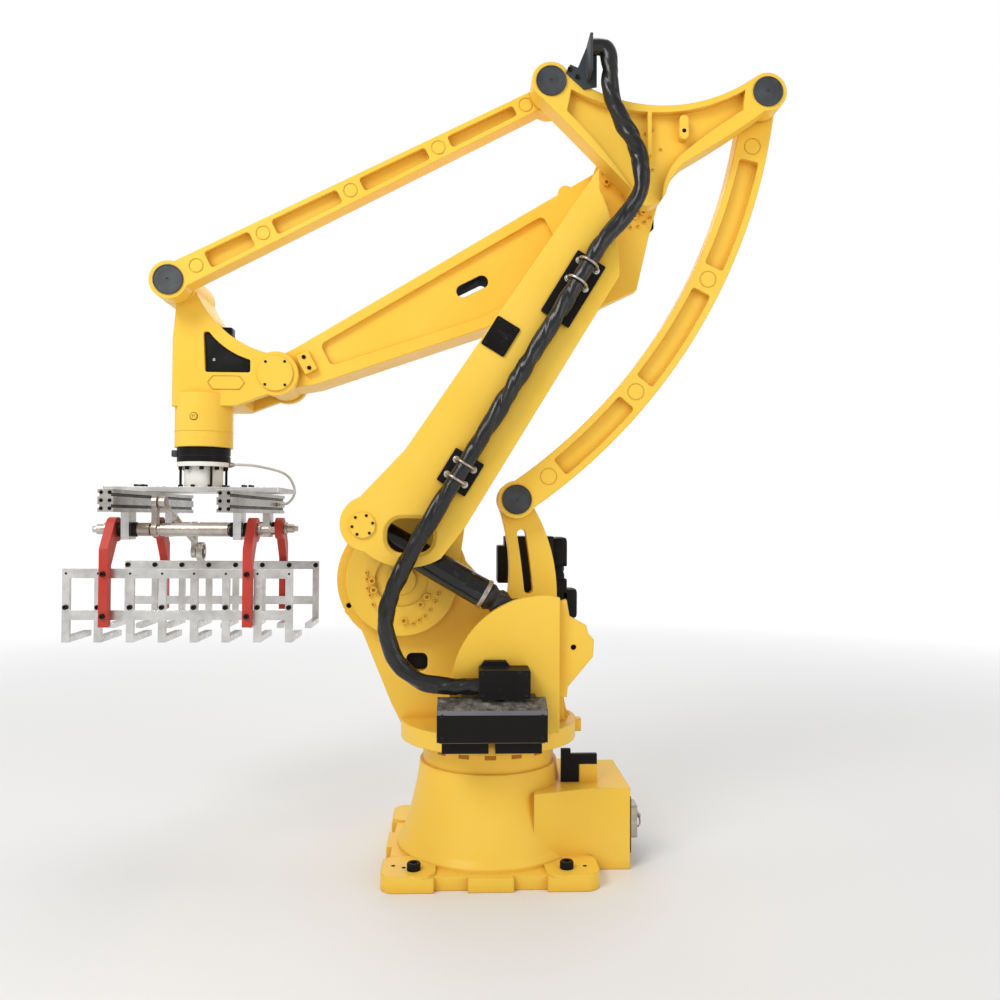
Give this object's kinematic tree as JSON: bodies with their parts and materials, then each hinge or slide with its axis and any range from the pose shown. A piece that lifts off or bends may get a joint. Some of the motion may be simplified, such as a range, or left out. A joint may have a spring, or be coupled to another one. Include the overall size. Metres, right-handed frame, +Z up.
{
  "type": "industrial robot arm",
  "caption": "Floor-standing palletising robot arm on a turning column: leaning lower arm, parallelogram links that keep the wrist level, and a fork-fingered claw gripper.",
  "frame": {"origin": "where the column's turning axis meets the floor, on the underside of the foot", "axes": "+X forward, the way the arm reaches; +Y to the robot's left, the side with the links and hose; +Z up"},
  "size_m": [2.0096, 0.705, 2.344],
  "materials": {
    "yellow_paint": "satin orange-yellow paint on cast iron",
    "black_satin": "satin black paint",
    "motor_black": "matt black motor paint",
    "black_plastic": "satin moulded plastic",
    "black_rubber": "matt black sleeve",
    "bare_steel": "bare turned steel",
    "bare_aluminium": "bare milled and extruded aluminium",
    "red_paint": "red paint",
    "pale_tube": "pale plastic air tube",
    "off_white_paint": "off-white paint"
  },
  "bodies": {
    "base": {"base_casting": "yellow_paint", "connector_panel": "black_satin", "panel_connectors": "bare_steel", "turn_stop": "black_satin"},
    "column": {"column_casting": "yellow_paint", "link_post": "yellow_paint", "balancer_bracket": "yellow_paint", "turn_motor": "motor_black", "shoulder_gearbox": "yellow_paint", "shoulder_motor": "motor_black", "side_box": "black_satin", "hose_outlet": "black_satin", "hose_lower_loop": "black_rubber"},
    "lower_arm": {"lower_arm_casting": "yellow_paint", "balancer_pin_cover": "yellow_paint", "hose_clamp_lower": "black_satin", "hose_clamp_upper": "black_satin", "arm_cover_plate": "black_satin", "hose_arm_run": "black_rubber", "hose_upper_loop": "black_rubber"},
    "balancer_tube": {"balancer_tube": "black_satin", "balancer_boot": "black_rubber"},
    "balancer_rod": {"balancer_rod": "bare_steel"},
    "rear_link": {"rear_link": "yellow_paint", "rear_link_cap": "black_plastic"},
    "rocker": {"rocker_casting": "yellow_paint", "rocker_front_cap": "black_plastic", "rocker_rear_cap": "black_plastic", "hose_bracket": "black_satin"},
    "front_link": {"front_link": "yellow_paint", "front_link_cap": "black_plastic"},
    "upper_arm": {"upper_arm_casting": "yellow_paint", "elbow_motor": "motor_black", "stop_block": "yellow_paint"},
    "wrist": {"wrist_casting": "yellow_paint", "wrist_motor": "motor_black", "wrist_pin_cover": "yellow_paint"},
    "tool": {"tool_flange": "black_satin", "tool_pillar": "off_white_paint", "gripper_plate": "bare_aluminium", "cross_profiles": "bare_aluminium", "bearing_blocks": "bare_aluminium", "air_tube": "pale_tube"},
    "near_claw": {"near_shaft": "bare_steel", "near_claw_arms": "red_paint", "near_rake": "bare_aluminium"},
    "far_claw": {"far_shaft": "bare_steel", "far_claw_arms": "red_paint", "far_rake": "bare_aluminium"},
    "tie_rod": {"tie_rod": "bare_steel"}
  },
  "joints": [
    {"name": "turn", "type": "hinge", "parent": "base", "child": "column", "pos_m": [0, 0, 0], "axis": [0, 0, 1], "range_deg": [-180, 180]},
    {"name": "shoulder", "type": "hinge", "parent": "column", "child": "lower_arm", "pos_m": [0.26, 0, 0.823], "axis": [0, 1, 0], "range_deg": [-3, 106], "deforming": ["hose_lower_loop"]},
    {"name": "rear_link_pivot", "type": "hinge", "parent": "column", "child": "rear_link", "pos_m": [-0.074, 0, 1.061], "axis": [0, 1, 0], "range_deg": [-3.1, 106.1]},
    {"name": "rocker_pivot", "type": "hinge", "parent": "lower_arm", "child": "rocker", "pos_m": [-0.4497, 0, 1.9948], "axis": [0, 1, 0], "range_deg": [-106.1, 3.1], "deforming": ["hose_upper_loop"]},
    {"name": "elbow", "type": "hinge", "parent": "rocker", "child": "upper_arm", "pos_m": [-0.4497, 0, 1.9948], "axis": [0, 1, 0], "range_deg": [-45, 8]},
    {"name": "front_link_pivot", "type": "hinge", "parent": "rocker", "child": "front_link", "pos_m": [-0.1607, 0, 2.2468], "axis": [0, 1, 0], "range_deg": [-45.1, 8.1]},
    {"name": "wrist_pivot", "type": "hinge", "parent": "upper_arm", "child": "wrist", "pos_m": [0.6379, 0, 1.4311], "axis": [0, 1, 0], "range_deg": [-8.1, 45.1]},
    {"name": "tool_turn", "type": "hinge", "parent": "wrist", "child": "tool", "pos_m": [0.8599, 0, 1.212], "axis": [0, 0, 1], "range_deg": [-180, 180]},
    {"name": "claw", "type": "hinge", "parent": "tool", "child": "near_claw", "pos_m": [0.8599, 0.185, 0.97], "axis": [1, 0, 0], "range_deg": [0, 35]},
    {"name": "far_claw_pivot", "type": "hinge", "parent": "tool", "child": "far_claw", "pos_m": [0.8599, -0.185, 0.97], "axis": [-1, 0, 0], "range_deg": [-0.1, 35.1]},
    {"name": "tie_rod_pivot", "type": "hinge", "parent": "near_claw", "child": "tie_rod", "pos_m": [0.9179, 0.185, 1.046], "axis": [1, 0, 0], "range_deg": [-38.9, 0.1]},
    {"name": "balancer_tube_pivot", "type": "hinge", "parent": "lower_arm", "child": "balancer_tube", "pos_m": [0.3581, 0.1435, 0.9853], "axis": [0, 1, 0], "range_deg": [-79.9, 2.4]},
    {"name": "balancer_rod_pivot", "type": "hinge", "parent": "column", "child": "balancer_rod", "pos_m": [-0.234, 0.1435, 0.642], "axis": [0, 1, 0], "range_deg": [-0.9, 26.4]}
  ],
  "couplings": [
    {"joint": "rear_link_pivot", "follows": "shoulder", "ratio": 1},
    {"joint": "rocker_pivot", "follows": "shoulder", "ratio": -1},
    {"joint": "balancer_tube_pivot", "follows": "shoulder", "ratio": -0.7525},
    {"joint": "balancer_rod_pivot", "follows": "shoulder", "ratio": 0.2475},
    {"joint": "front_link_pivot", "follows": "elbow", "ratio": 1},
    {"joint": "wrist_pivot", "follows": "elbow", "ratio": -1},
    {"joint": "far_claw_pivot", "follows": "claw", "ratio": 1},
    {"joint": "tie_rod_pivot", "follows": "claw", "ratio": -1.1066}
  ]
}
